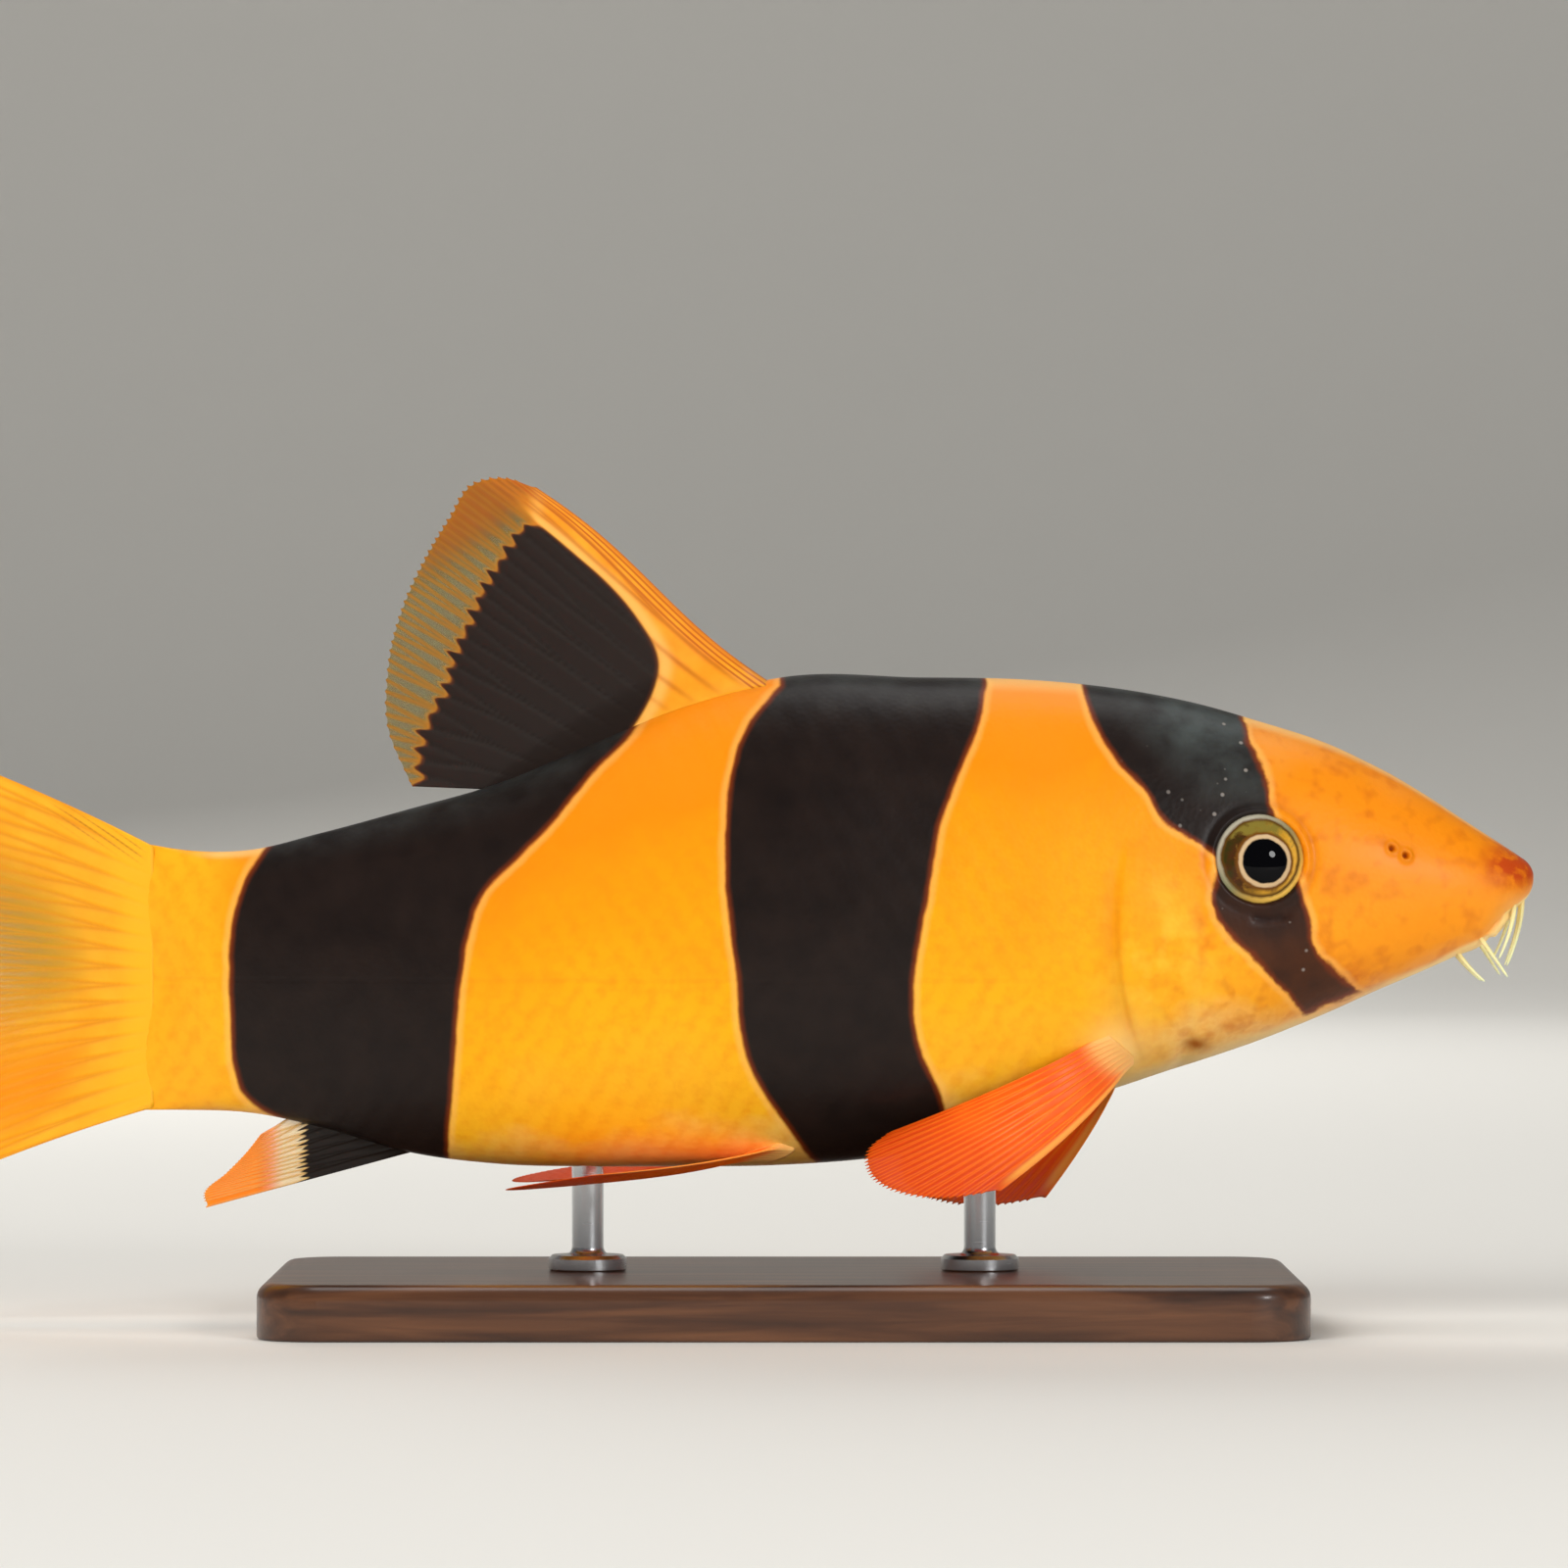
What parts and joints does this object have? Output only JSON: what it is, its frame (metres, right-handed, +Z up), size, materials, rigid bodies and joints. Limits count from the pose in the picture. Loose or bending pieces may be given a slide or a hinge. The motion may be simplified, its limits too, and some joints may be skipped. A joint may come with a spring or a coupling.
{
  "type": "clown loach model",
  "caption": "Life-size still model of a clown loach swimming level, orange-yellow with broad black bands, held on a flat base by short rods.",
  "frame": {"origin": "centre of the whole model's footprint, on the underside of the stand's base", "axes": "+X from the tail towards the snout, +Y towards the fish's left flank, +Z up. The right flank faces -Y."},
  "size_m": [0.143, 0.044, 0.0693],
  "materials": {
    "skin": "wet, satin skin with fine scales; orange-yellow with broad brown-black bands",
    "dark_fin": "satin fin membrane, brown-black with an orange leading edge and a clear olive margin",
    "tail_fin": "satin, translucent orange-yellow fin membrane with fine rays",
    "red_fin": "satin red-orange fin membrane with fine rays",
    "eye": "high gloss; black pupil in a gold ring",
    "barbel": "satin, pale yellow",
    "base_wood": "dark stained, satin",
    "rod_steel": "brushed"
  },
  "bodies": {
    "root": {"head": "skin", "trunk": "skin", "tail_stalk": "skin", "dorsal_fin": "dark_fin", "anal_fin": "dark_fin", "caudal_fin_upper": "tail_fin", "caudal_fin_lower": "tail_fin", "pectoral_fin_right": "red_fin", "pelvic_fin_right": "red_fin", "eye_right": "eye", "barbel_rostral_inner_right": "barbel", "barbel_rostral_outer_right": "barbel", "barbel_maxillary_right": "barbel", "barbel_mandibular_right": "barbel", "pectoral_fin_left": "red_fin", "pelvic_fin_left": "red_fin", "eye_left": "eye", "barbel_rostral_inner_left": "barbel", "barbel_rostral_outer_left": "barbel", "barbel_maxillary_left": "barbel", "barbel_mandibular_left": "barbel", "stand_base": "base_wood", "stand_rod_front": "rod_steel", "stand_rod_rear": "rod_steel"}
  },
  "joints": []
}
